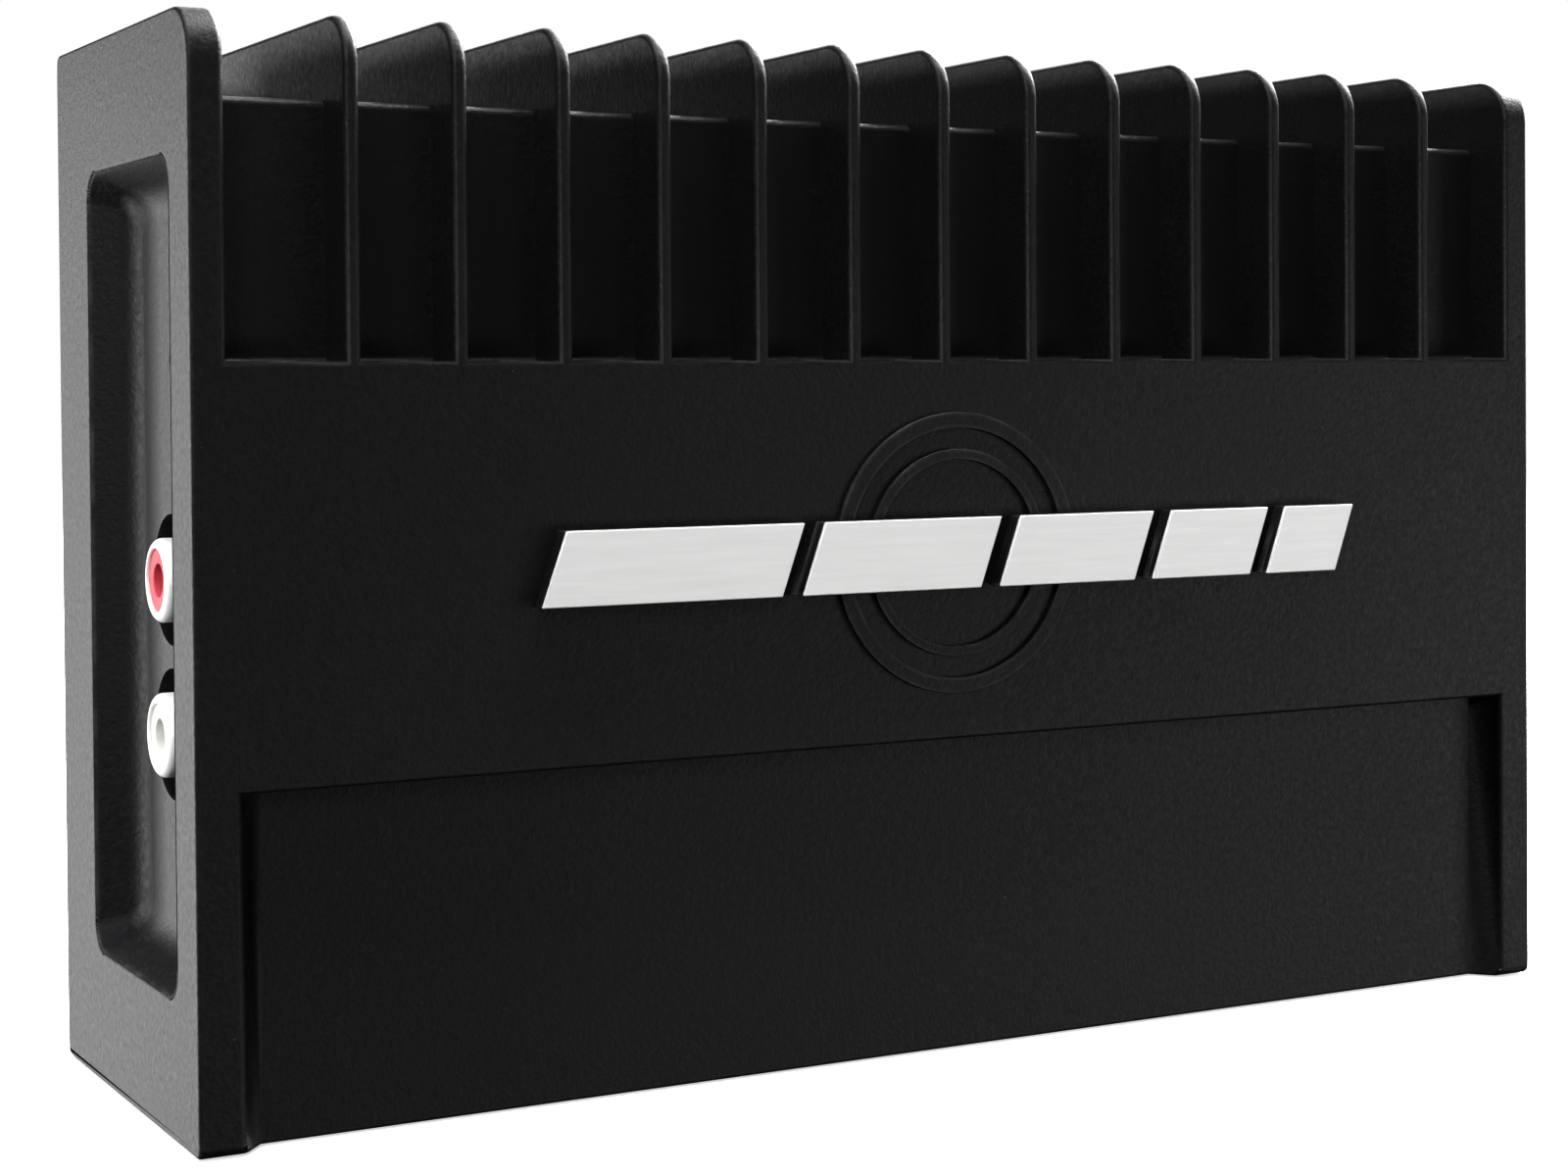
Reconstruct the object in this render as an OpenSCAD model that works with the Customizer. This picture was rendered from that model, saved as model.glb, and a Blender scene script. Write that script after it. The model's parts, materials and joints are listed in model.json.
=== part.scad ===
// Compact car amplifier. A finned die-cast housing stands on its long side, with the badge on its
// front face. The input jacks and the controls are in the left end, the power and speaker plugs and
// the fuse in the right end, and the circuit board hangs in the casting behind a base plate.
// Modules draw in a corner frame: X from the left end, Y from the front face, Z from the underside.
// place() moves that frame so that the origin is the centre of the footprint.

/* [Body] */
// Length of the body, end to end
body_w = 160; // [159:0.5:163]
// Thickness of the body, front face to base plate
body_d = 47.5; // [47:0.5:50]
// Height of the body as it stands
body_h = 105; // [104:0.5:108]
// Radius of the top front corner of the fins and end walls
crown_r = 5; // [3:0.5:6]
// Radius of the other long edges
edge_r = 1; // [0.4:0.1:1.5]

/* [Fins] */
// Number of fins between the two end walls
fin_count = 13; // [10:1:14]
// Thickness of a fin
fin_t = 1.5; // [1.2:0.1:2]
// Thickness of the end walls beside the outer bays
end_wall = 3.4; // [3:0.1:4]
// Width of the first and last bay
end_bay_w = 11.4; // [9:0.1:13]
// Height at which the bays start on the front face
bay_z = 72.5; // [68:0.5:78]
// Depth of the bays in the front face
bay_depth = 5.8; // [4:0.1:6]
// Height of the fins above the shelf of the casting
fin_rise = 7.8; // [6:0.1:9]

/* [Front face] */
// Height of the sunken panel at the foot of the front face
panel_h = 33; // [25:0.5:36]
// Depth of the sunken panel
panel_depth = 2.8; // [1.5:0.1:3.2]
// Width of the rims beside the sunken panel
panel_rim = 4.3; // [4:0.1:6]
// Run of the sloping sides of the sunken panel
panel_slope = 2.5; // [1:0.1:3]
// Height of the badge bars above the front face, plates included
badge_h = 2; // [1.6:0.1:2.5]

/* [End recesses] */
// Front rim beside each end recess
recess_rim = 6.5; // [6:0.1:7]
// Width of an end recess, front to back
recess_w = 29.2; // [28:0.1:30]
// Height of an end recess
recess_h = 78.5; // [77:0.5:80]
// Depth of an end recess
recess_depth = 4.6; // [4.2:0.1:5]
// Run of the sloping walls of an end recess
recess_slope = 2.8; // [2:0.1:3]

/* [Inputs and controls] */
// Height of the lower input jack's axis
jack_z = 36.1; // [36:0.1:38]
// Distance between the two input jacks
jack_pitch = 15.2; // [15:0.1:15.6]
// Outer diameter of a jack's barrel
jack_d = 8.3; // [8:0.1:8.5]

/* [Plugs] */
// Distance between the poles of a plug
pole_pitch = 7.62; // [7.5:0.01:7.62]
// Poles of the power plug: supply, remote and ground
power_poles = 3; // [3]
// Poles of the speaker plug: two for each channel
speaker_poles = 4; // [4]

/* [Hidden] */

over = 1;               // how far a cut runs past the face it opens
slack = 0.3;            // space around a piece that moves in an opening
arc_fn = 64;            // facets of a plain round
fine_fn = 96;           // facets of a large round

// Casting
inner_bay_w = (body_w - 2 * (end_wall + end_bay_w) - fin_count * fin_t) / (fin_count - 1);
shelf_z = body_h - fin_rise;
shelf_r = 0.8;
root_r = 0.5;
end_skin = 2.8;         // wall left behind an end recess
cavity_x = recess_depth + end_skin;
cavity_y = bay_depth + 2.6;
cavity_z0 = 6.5;
cavity_z1 = shelf_z - 6.2;
recess_z = (body_h - recess_h) / 2;
recess_r = 3;
floor_r = 2;            // corner radius of a recess at its floor
floor_blend = 4;        // radius that joins a recess's walls to its floor

// Base plate in its seat
plate_t = 2;
seat_x = 3.4;
seat_z0 = 3.2;
seat_z1 = shelf_z - 3.2;
seat_gap = 0.15;
plate_y = body_d - plate_t;
mount_x = 120;          // spacing of the mounting holes along X
mount_z = 60;           // spacing of the mounting holes along Z
mount_r = 1.65;         // M4 tapping size
column_r = 3.6;
thread_gap = 0.05;      // space between a screw and its tapped hole
m3_r = 1.45;
pan_head_r = 2.75;
cross_w = 0.7;          // width of a screw's cross recess or slot

// Board
board_t = 1.6;
jack_y = 22.65;
jack_rise = 8.5;        // axis of the jacks above the board
board_y = jack_y - jack_rise;
board_x0 = cavity_x + 1;
board_x1 = body_w - cavity_x - 1;
board_z0 = 8;
board_z1 = cavity_z1 - 2.5;
control_y = board_y + 5.05;

// Places of the controls up the left end
gain_z = jack_z + jack_pitch + 12.4;
crossover_z = gain_z + 9.4;
filter_z = jack_z - 13.7;
power_led_z = crossover_z + 6.3;
protect_z = power_led_z + 4;

// Input jacks
jack_r = jack_d / 2;
jack_wall = 1;
jack_lip = 0.8;         // radius of the barrel's rounded mouth
jack_root = 0.2;        // step of the barrel where it sits in the jack's body
jack_hole_r = 6.5;
jack_x = recess_depth - 1.7;
jack_pad = 3;           // extra wall inside the jack holes
jack_body_x = cavity_x + jack_pad + 0.1;
insulator_in = 0.3;     // step from the barrel's mouth down to the insulator
socket_r = 1.65;
contact_r = 2.15;

// Control knobs
knob_r = 2.9;
knob_hole_r = 3.3;
knob_shaft_r = 1.5;
pot_x = cavity_x + 0.6;

// Filter switch
slider_travel = 2;
slider_y = 1.3;
slider_z = 1.4;

// Indicator lamps
led_r = 1.5;

// Plugs, from the mouth of the wire holes inwards
plug_x1 = body_w - 1.2;
plug_len = 21.3;
plug_x0 = plug_x1 - plug_len;
plug_t = 13;
plug_y0 = jack_y - plug_t / 2;
plug_margin = 0.6;
clamp_x = plug_x1 - 6.3;    // axis of the clamping screws
power_z = 17.6;
speaker_z = 53.2;
header_wall = 1.5;
header_x0 = plug_x0 - 4.5;
header_x1 = plug_x0 + 8;

// Clamping cages inside the plugs
cage_len = 5.4;
cage_half_z = 2.9;
cage_wall = 0.6;
cage_y0 = plug_y0 + 3.85;
cage_y1 = plug_y0 + 11.35;
cage_top = 0.9;
cage_travel = 1.5;
bar_y = cage_y0 + cage_top + 0.2;
bar_t = 0.8;
wire_y0 = bar_y + bar_t + 0.05;
wire_h = 4.5;
wire_w = 4.9;
screw_head_r = 2.1;
screw_head_h = 1.8;

// Fuse
fuse_z = 47.5;
fuse_w = 10.9;
fuse_t = 3.8;
fuse_len = 8.7;
fuse_x1 = body_w - 1.8;
fuse_x0 = fuse_x1 - fuse_len;
blade_len = 7.5;
blade_w = 2.8;
blade_t = 0.8;
blade_off = 3.85;
holder_x0 = fuse_x0 - 10.5;
holder_x1 = fuse_x0 + 2;
holder_half_z = 3.7;

// Transistors under the top wall
tab_t = 1.3;
tab_z = cavity_z1 - 0.35;
package_w = 10;
package_y = board_y + 6;
clamp_y = package_y + 4.5;
tab_hole_y = package_y + 12.4;
tab_hole_r = 1.8;
supply_x = 23.4;
output_x = 84.9;
transistor_pitch = 11.2;
clamp_room = 3.6;       // extra space for the clamp screw between the middle two
bar_half = 23.4;

// Ring transformer and output chokes, standing clear of the board by their wire
transformer_x = 92;
transformer_z = 42;
transformer_r = 14;
transformer_in_r = 7;
transformer_h = 12;
transformer_wire = 1.4;
transformer_y = board_y + transformer_wire + 0.4;
choke_x = 60;
choke_z = [60, 42];
choke_r = 7;
choke_in_r = 3.8;
choke_h = 6;
choke_wire = 1;
choke_y = board_y + choke_wire + 0.4;

// Reservoir capacitors: X, Z, radius and height
supply_cans = [[118, 23.5, 8, 25], [118, 41, 8, 25], [98, 19.5, 6.3, 20], [84, 19.5, 6.3, 20]];

// Badge bars, wide to narrow
badge_x = 33.4;
badge_z = 48.8;
badge_bar_h = 7.3;
badge_slant = 2.6;
badge_gap = 2.4;
badge_widths = [26, 21, 17, 13, 9.5];
badge_plate_t = 0.4;
emblem_rise = 0.5;
emblem_x = 81;
emblem_z = 52.4;

function sum_to(list, n) = n <= 0 ? 0 : list[n - 1] + sum_to(list, n - 1);
function plug_width(poles) = poles * pole_pitch + 2 * plug_margin;
function pole_z(base_z, i) = base_z + plug_margin + (i + 0.5) * pole_pitch;
function base_screw_places() = [
    for (x = [cavity_x + 3.2, body_w / 2, body_w - cavity_x - 3.2])
        for (z = [cavity_z0 + 2.4, cavity_z1 - 2.4]) [x, z]
];
function board_screw_places() = [
    for (x = [27, 68, 112]) for (z = [13.5, 76]) [x, z]
];
function transistor_x(x0, i) = x0 + i * transistor_pitch + (i > 1 ? clamp_room : 0);
function clamp_places() = [
    for (x = [supply_x, output_x]) x + (package_w + 3 * transistor_pitch + clamp_room) / 2
];

module place() {
    translate([-body_w / 2, -(body_d - badge_h) / 2, 0]) children();
}

// Extrudes a Y-Z outline along X
module along_x(x0, len) {
    translate([x0, 0, 0]) rotate([90, 0, 90]) linear_extrude(len) children();
}

// Extrudes an X-Z outline along Y
module along_y(y0, len) {
    translate([0, y0 + len, 0]) rotate([90, 0, 0]) linear_extrude(len) children();
}

module rod_x(x0, y, z, len, r) {
    translate([x0, y, z]) rotate([0, 90, 0]) cylinder(h = len, r = r, $fn = arc_fn);
}

module rod_y(x, y0, z, len, r) {
    translate([x, y0, z]) rotate([-90, 0, 0]) cylinder(h = len, r = r, $fn = arc_fn);
}

module rod_z(x, y, z0, len, r) {
    translate([x, y, z0]) cylinder(h = len, r = r, $fn = arc_fn);
}

module block(low, high) {
    translate(low) cube(high - low);
}

// What a rounded corner at the origin, open to +X and +Y, takes away
module corner_waste(r) {
    difference() {
        translate([-over, -over]) square(r + over);
        translate([r, r]) circle(r = r, $fn = arc_fn);
    }
}

module rounded_rect(w, h, r) {
    translate([r, 0]) square([w - 2 * r, h]);
    translate([0, r]) square([w, h - 2 * r]);
    for (x = [r, w - r]) {
        for (y = [r, h - r]) {
            translate([x, y]) circle(r = r, $fn = arc_fn);
        }
    }
}

// ---- Housing ----

module casting_profile() {
    difference() {
        square([body_d, body_h]);
        corner_waste(edge_r);
        translate([body_d, 0]) mirror([1, 0]) corner_waste(edge_r);
        translate([0, body_h]) mirror([0, 1]) corner_waste(crown_r);
        translate([body_d, body_h]) mirror([1, 0]) mirror([0, 1]) corner_waste(edge_r);
    }
}

module bay_profile() {
    difference() {
        union() {
            translate([-over, bay_z]) square([bay_depth + over, body_h - bay_z + over]);
            translate([-over, shelf_z]) square([body_d + 2 * over, fin_rise + over]);
            translate([bay_depth, shelf_z]) mirror([0, 1]) corner_waste(shelf_r);
        }
        translate([bay_depth, bay_z]) mirror([1, 0]) corner_waste(root_r);
    }
}

module bays() {
    along_x(end_wall, end_bay_w) bay_profile();
    along_x(body_w - end_wall - end_bay_w, end_bay_w) bay_profile();
    for (i = [1 : fin_count - 1]) {
        x = end_wall + end_bay_w + i * fin_t + (i - 1) * inner_bay_w;
        along_x(x, inner_bay_w) bay_profile();
    }
}

module sunken_panel() {
    intersection() {
        translate([0, 0, -over]) linear_extrude(panel_h + over) polygon([
            [panel_rim, -over], [panel_rim, 0], [panel_rim + panel_slope, panel_depth],
            [body_w - panel_rim - panel_slope, panel_depth], [body_w - panel_rim, 0],
            [body_w - panel_rim, -over]
        ]);
        along_x(0, body_w) translate([-over, -over]) square([panel_depth + over, panel_h + over]);
    }
}

module recess_outline(inset, r) {
    translate([recess_rim + inset, recess_z + inset])
        rounded_rect(recess_w - 2 * inset, recess_h - 2 * inset, r);
}

// Sloping walls that curve into a flat floor
module end_recess() {
    sliver = 0.02;
    lean = atan(recess_slope / recess_depth);
    blend_inset = (floor_blend + sin(lean) * (recess_depth - floor_blend)) / cos(lean);
    hull() {
        along_x(0, sliver) recess_outline(0, recess_r);
        for (step = [0 : 5]) {
            turn = lean + (90 - lean) * step / 5;
            along_x(recess_depth - floor_blend * (1 - sin(turn)) - sliver, sliver)
                recess_outline(blend_inset - floor_blend * cos(turn), floor_r);
        }
    }
    along_x(-over, over + sliver) recess_outline(0, recess_r);
}

module badge_bar(i) {
    x0 = badge_x + sum_to(badge_widths, i) + i * badge_gap;
    w = badge_widths[i];
    polygon([
        [x0, badge_z], [x0 + w, badge_z],
        [x0 + w + badge_slant, badge_z + badge_bar_h], [x0 + badge_slant, badge_z + badge_bar_h]
    ]);
}

module emblem_ring(r, width) {
    along_y(-emblem_rise, emblem_rise + 0.2) translate([emblem_x, emblem_z]) difference() {
        circle(r = r, $fn = fine_fn);
        circle(r = r - width, $fn = fine_fn);
    }
}

module raised_front() {
    emblem_ring(14.6, 1.6);
    emblem_ring(10.8, 1.1);
    along_y(-(badge_h - badge_plate_t), badge_h - badge_plate_t + 0.2) {
        for (i = [0 : len(badge_widths) - 1]) {
            badge_bar(i);
        }
    }
}

module cavity() {
    along_y(cavity_y, body_d)
        translate([cavity_x, cavity_z0])
            square([body_w - 2 * cavity_x, cavity_z1 - cavity_z0]);
    along_y(plate_y, plate_t + over)
        translate([seat_x, seat_z0])
            rounded_rect(body_w - 2 * seat_x, seat_z1 - seat_z0, 3);
}

module inner_bosses() {
    for (p = base_screw_places()) {
        rod_y(p[0], cavity_y - 0.5, p[1], plate_y - cavity_y + 0.5, column_r);
    }
    for (p = board_screw_places()) {
        rod_y(p[0], cavity_y - 0.5, p[1], board_y - board_t - cavity_y + 0.5, 3);
    }
    block(
        [cavity_x - 0.5, jack_y - 7.4, jack_z - 7.9],
        [cavity_x + jack_pad, jack_y + 7.4, jack_z + jack_pitch + 7.9]
    );
}

module end_openings() {
    for (i = [0, 1]) {
        rod_x(recess_depth - over, jack_y, jack_z + i * jack_pitch, 9, jack_hole_r);
    }
    for (z = [gain_z, crossover_z]) {
        rod_x(recess_depth - over, control_y, z, 6, knob_hole_r);
    }
    for (z = [power_led_z, protect_z]) {
        rod_x(recess_depth - over, control_y, z, 6, led_r + 0.1);
    }
    block(
        [recess_depth - over, control_y - slider_y - slack, filter_z - slider_z - slider_travel - slack],
        [cavity_x + over, control_y + slider_y + slack, filter_z + slider_z + slider_travel + slack]
    );
    for (p = [[power_z, power_poles], [speaker_z, speaker_poles]]) {
        block(
            [body_w - cavity_x - over, plug_y0 - slack, p[0] - slack],
            [body_w - recess_depth + over, plug_y0 + plug_t + slack, p[0] + plug_width(p[1]) + slack]
        );
    }
    block(
        [body_w - cavity_x - over, jack_y - fuse_w / 2 - 0.5, fuse_z - fuse_t / 2 - 0.5],
        [body_w - recess_depth + over, jack_y + fuse_w / 2 + 0.5, fuse_z + fuse_t / 2 + 0.5]
    );
}

module tapped_holes() {
    for (p = base_screw_places()) {
        rod_y(p[0], plate_y - 12, p[1], 12 + over, m3_r + thread_gap);
    }
    for (p = board_screw_places()) {
        rod_y(p[0], cavity_y - 1.4, p[1], board_y - board_t - cavity_y + 1.4 + over, m3_r + thread_gap);
    }
    for (x = clamp_places()) {
        rod_z(x, clamp_y, cavity_z1 - over, 4.5 + over, m3_r + thread_gap);
    }
}

module housing() {
    place() color("#1c1c1e") difference() {
        union() {
            difference() {
                union() {
                    along_x(0, body_w) casting_profile();
                    raised_front();
                }
                bays();
                sunken_panel();
                end_recess();
                translate([body_w, 0, 0]) mirror([1, 0, 0]) end_recess();
                cavity();
            }
            inner_bosses();
        }
        end_openings();
        tapped_holes();
    }
}

module badge_plates() {
    place() color("#d9dadb") along_y(-badge_h, badge_plate_t) {
        for (i = [0 : len(badge_widths) - 1]) {
            badge_bar(i);
        }
    }
}

// ---- Base plate ----

module countersink(x, z) {
    rod_y(x, plate_y - over, z, plate_t + 2 * over, 1.7);
    translate([x, body_d - 1.6, z]) rotate([-90, 0, 0])
        cylinder(h = 1.65, r1 = 1.5, r2 = 3.15, $fn = arc_fn);
}

module base_plate() {
    place() color("#2a2a2c") difference() {
        union() {
            along_y(plate_y, plate_t)
                translate([seat_x + seat_gap, seat_z0 + seat_gap])
                    rounded_rect(
                        body_w - 2 * (seat_x + seat_gap), seat_z1 - seat_z0 - 2 * seat_gap, 2.85);
            for (x = [-1, 1] * mount_x / 2) {
                for (z = [-1, 1] * mount_z / 2) {
                    rod_y(body_w / 2 + x, plate_y - 3, (seat_z0 + seat_z1) / 2 + z, 3.5, 3.2);
                }
            }
        }
        for (p = base_screw_places()) {
            countersink(p[0], p[1]);
        }
        for (x = [-1, 1] * mount_x / 2) {
            for (z = [-1, 1] * mount_z / 2) {
                rod_y(body_w / 2 + x, plate_y - 4, (seat_z0 + seat_z1) / 2 + z, 8, mount_r);
            }
        }
    }
}

// Countersunk screw with its head flush in the base plate and a cross recess
module base_plate_screws() {
    place() color("#8d8f92") for (p = base_screw_places()) {
        difference() {
            union() {
                rod_y(p[0], plate_y - 8, p[1], 9, m3_r);
                translate([p[0], body_d - 1.55, p[1]]) rotate([-90, 0, 0])
                    cylinder(h = 1.45, r1 = m3_r, r2 = 2.85, $fn = arc_fn);
            }
            for (turn = [0, 90]) {
                translate([p[0], body_d - 0.6, p[1]]) rotate([0, turn, 0])
                    cube([3.2, 1.2, cross_w], center = true);
            }
        }
    }
}

// ---- Circuit board ----

module main_board() {
    place() color("#1f5a34") difference() {
        along_y(board_y - board_t, board_t)
            translate([board_x0, board_z0]) square([board_x1 - board_x0, board_z1 - board_z0]);
        for (p = base_screw_places()) {
            rod_y(p[0], board_y - board_t - over, p[1], board_t + 2 * over, column_r + 0.5);
        }
        for (p = board_screw_places()) {
            rod_y(p[0], board_y - board_t - over, p[1], board_t + 2 * over, m3_r + 0.15);
        }
    }
}

module board_screws() {
    place() color("#a9abae") for (p = board_screw_places()) {
        difference() {
            union() {
                rod_y(p[0], cavity_y - 0.9, p[1], board_y - cavity_y + 1.4, m3_r);
                rod_y(p[0], board_y, p[1], 1.9, pan_head_r);
            }
            for (turn = [0, 90]) {
                translate([p[0], board_y + 1.6, p[1]]) rotate([0, turn, 0])
                    cube([3.2, 1.4, cross_w], center = true);
            }
        }
    }
}

// ---- Input jacks ----

module rca_body() {
    place() color("#151516") difference() {
        block(
            [jack_body_x, board_y, jack_z - 7.5],
            [jack_body_x + 10, jack_y + 6.8, jack_z + jack_pitch + 7.5]
        );
        for (i = [0, 1]) {
            rod_x(jack_body_x - over, jack_y, jack_z + i * jack_pitch, 4 + over, jack_r + jack_root + 0.02);
        }
        translate([jack_body_x + 5, jack_y + 6.8, jack_z + jack_pitch / 2])
            cube([6, 1, 1.2], center = true);
    }
}

// Nickel sleeve with a rounded mouth
module barrel(z) {
    seat = jack_body_x - jack_x;
    seat_len = 3.9;
    translate([jack_x, jack_y, z]) rotate([0, 90, 0]) rotate_extrude($fn = fine_fn) polygon(concat(
        [[jack_r - jack_wall, 0.15], [jack_r - jack_wall + 0.1, 0]],
        [for (turn = [90 : -18 : 0]) [jack_r - jack_lip, jack_lip] + jack_lip * [cos(turn), -sin(turn)]],
        [[jack_r, seat], [jack_r + jack_root, seat], [jack_r + jack_root, seat + seat_len]],
        [[jack_r - jack_wall, seat + seat_len]]
    ));
}

module rca_barrels() {
    place() color("#c9cacc") {
        barrel(jack_z);
        barrel(jack_z + jack_pitch);
    }
}

// Plastic plug that fills the barrel, bored for the centre contact
module insulator(z) {
    translate([jack_x + insulator_in, jack_y, z]) rotate([0, 90, 0]) difference() {
        cylinder(h = 9.6 - insulator_in, r = jack_r - jack_wall - 0.02, $fn = arc_fn);
        translate([0, 0, -over]) cylinder(h = 2.6 + over, r = socket_r, $fn = arc_fn);
        translate([0, 0, 2.4 - insulator_in]) cylinder(h = 5.8, r = contact_r + 0.05, $fn = arc_fn);
    }
}

module rca_insulator_red() {
    place() color("#b3202c") insulator(jack_z + jack_pitch);
}

module rca_insulator_white() {
    place() color("#e9e7e2") insulator(jack_z);
}

// Slit sleeves that grip the centre pins
module rca_contacts() {
    place() color("#b8bac0") for (i = [0, 1]) {
        difference() {
            rod_x(jack_x + 2.5, jack_y, jack_z + i * jack_pitch, 5.5, contact_r);
            rod_x(jack_x + 2.5 - over, jack_y, jack_z + i * jack_pitch, 5, socket_r + 0.02);
            translate([jack_x + 3.4, jack_y, jack_z + i * jack_pitch])
                cube([4, 6, 0.5], center = true);
        }
    }
}

// ---- Controls ----

module pot_body(z) {
    difference() {
        block([pot_x, board_y, z - 4.2], [pot_x + 6.5, control_y + 4.6, z + 4.2]);
        rod_x(pot_x - over, control_y, z, 5.5 + over, knob_shaft_r + 0.05);
    }
}

// Flush knob with a screwdriver slot and a pointer notch in its rim
module control_knob(z) {
    difference() {
        union() {
            rod_x(recess_depth + 0.1, control_y, z, cavity_x - recess_depth + 0.2, knob_r);
            rod_x(cavity_x, control_y, z, 5.6, knob_shaft_r);
        }
        translate([recess_depth, control_y, z]) cube([2, 0.9, 4.2], center = true);
        translate([recess_depth, control_y, z + knob_r]) cube([1.2, 0.8, 1.6], center = true);
    }
}

module gain_pot_body() {
    place() color("#26324d") pot_body(gain_z);
}

module gain_knob() {
    place() color("#dcdcd8") control_knob(gain_z);
}

module crossover_pot_body() {
    place() color("#26324d") pot_body(crossover_z);
}

module crossover_knob() {
    place() color("#dcdcd8") control_knob(crossover_z);
}

module filter_switch_body() {
    place() color("#8b8e92") difference() {
        block([pot_x, board_y, filter_z - 5], [pot_x + 5.5, control_y + 3.4, filter_z + 5]);
        block(
            [pot_x + 0.6, control_y - 2.2, filter_z - 2.3 - slider_travel - slack],
            [pot_x + 2.6, control_y + 2.2, filter_z + 2.3 + slider_travel + slack]
        );
        block(
            [pot_x - over, control_y - slider_y - slack, filter_z - slider_z - slider_travel - slack],
            [pot_x + 1, control_y + slider_y + slack, filter_z + slider_z + slider_travel + slack]
        );
    }
}

module filter_switch_slider() {
    place() color("#101011") difference() {
        union() {
            block(
                [recess_depth + 0.2, control_y - slider_y, filter_z - slider_z],
                [pot_x + 1.2, control_y + slider_y, filter_z + slider_z]
            );
            block(
                [pot_x + 0.9, control_y - 1.9, filter_z - 2.3],
                [pot_x + 2.2, control_y + 1.9, filter_z + 2.3]
            );
        }
        for (dz = [-0.7, 0, 0.7]) {
            translate([recess_depth + 0.2, control_y, filter_z + dz])
                cube([0.6, 4, 0.3], center = true);
        }
    }
}

module led(z) {
    translate([recess_depth + 1.1, control_y, z]) rotate([0, 90, 0]) {
        sphere(r = led_r, $fn = arc_fn);
        cylinder(h = 2.6, r = led_r, $fn = arc_fn);
        translate([0, 0, 2.1]) cylinder(h = 1, r = led_r + 0.25, $fn = arc_fn);
    }
}

module power_led() {
    place() color("#2f7fd6") led(power_led_z);
}

module protect_led() {
    place() color("#c8281e") led(protect_z);
}

// Bent wire legs of both lamps
module led_leads() {
    lead_x = recess_depth + 4.2;
    place() color("#b9bbbe") for (z = [power_led_z, protect_z]) {
        for (dz = [-1.27, 0.77]) {
            block([lead_x, control_y - 0.25, z + dz], [lead_x + 2.2, control_y + 0.25, z + dz + 0.5]);
            block([lead_x + 1.7, board_y, z + dz], [lead_x + 2.2, control_y, z + dz + 0.5]);
        }
    }
}

// ---- Plugs and their headers ----

module header(base_z, poles) {
    w = plug_width(poles);
    wall = header_wall + slack;
    difference() {
        block(
            [header_x0, board_y, base_z - wall],
            [header_x1, plug_y0 + plug_t + wall, base_z + w + wall]
        );
        block(
            [plug_x0 - 0.5, plug_y0 - slack, base_z - slack],
            [header_x1 + over, plug_y0 + plug_t + slack, base_z + w + slack]
        );
        for (i = [0 : poles - 1]) {
            block(
                [header_x0 - over, bar_y + bar_t + 0.2, pole_z(base_z, i) - 0.9],
                [plug_x0, bar_y + bar_t + 0.9, pole_z(base_z, i) + 0.9]
            );
        }
    }
}

// Flat pins that run through the header's back wall and down to the board
module header_pins(base_z, poles) {
    for (i = [0 : poles - 1]) {
        z = pole_z(base_z, i);
        block([header_x0 - 1.2, bar_y + bar_t + 0.2, z - 0.9], [plug_x0 + 7, bar_y + bar_t + 0.9, z + 0.9]);
        block([header_x0 - 1.2, board_y, z - 0.9], [header_x0 - 0.4, bar_y + bar_t + 0.9, z + 0.9]);
    }
}

module plug(base_z, poles) {
    w = plug_width(poles);
    difference() {
        block([plug_x0, plug_y0, base_z], [plug_x1, plug_y0 + plug_t, base_z + w]);
        for (i = [0 : poles - 1]) {
            z = pole_z(base_z, i);
            // room for the cage, the screw above it, the wire and the contact behind it
            block(
                [clamp_x - cage_len / 2 - slack, cage_y0 - cage_travel - 0.1, z - cage_half_z - 0.2],
                [clamp_x + cage_len / 2 + slack, cage_y1 + slack, z + cage_half_z + 0.2]
            );
            rod_y(clamp_x, plug_y0 - over, z, 4, screw_head_r + 0.2);
            block(
                [clamp_x, wire_y0 - 0.05, z - wire_w / 2],
                [plug_x1 + over, wire_y0 + wire_h, z + wire_w / 2]
            );
            block(
                [plug_x0 - over, bar_y - 0.2, z - 1.8],
                [clamp_x, bar_y + bar_t + 2.1, z + 1.8]
            );
        }
        // keying ribs' grooves along the back of the plug
        for (i = [0 : poles - 1]) {
            block(
                [plug_x0 - over, plug_y0 + plug_t - 0.8, pole_z(base_z, i) - 0.8],
                [plug_x0 + 7, plug_y0 + plug_t + over, pole_z(base_z, i) + 0.8]
            );
        }
    }
}

// Current bars with a spring leaf that grips each header pin
module plug_contacts(base_z, poles) {
    for (i = [0 : poles - 1]) {
        z = pole_z(base_z, i);
        block([plug_x0 + 1.2, bar_y, z - 1.5], [clamp_x + cage_len / 2, bar_y + bar_t, z + 1.5]);
        block([plug_x0 + 1.2, bar_y + bar_t + 1.1, z - 1.5], [plug_x0 + 9, bar_y + bar_t + 1.6, z + 1.5]);
        block([plug_x0 + 8.2, bar_y + 0.2, z - 1.5], [plug_x0 + 9, bar_y + bar_t + 1.6, z + 1.5]);
    }
}

// Slotted clamping screw that stays where it is and draws its cage up
module clamp_screw(base_z, i) {
    z = pole_z(base_z, i);
    difference() {
        union() {
            rod_y(clamp_x, plug_y0 + 0.4, z, screw_head_h, screw_head_r);
            rod_y(clamp_x, plug_y0 + 0.4, z, bar_y - plug_y0 - 0.5, m3_r);
        }
        translate([clamp_x, plug_y0 + 0.6, z]) cube([2 * screw_head_r + over, 1, cross_w], center = true);
    }
}

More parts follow.
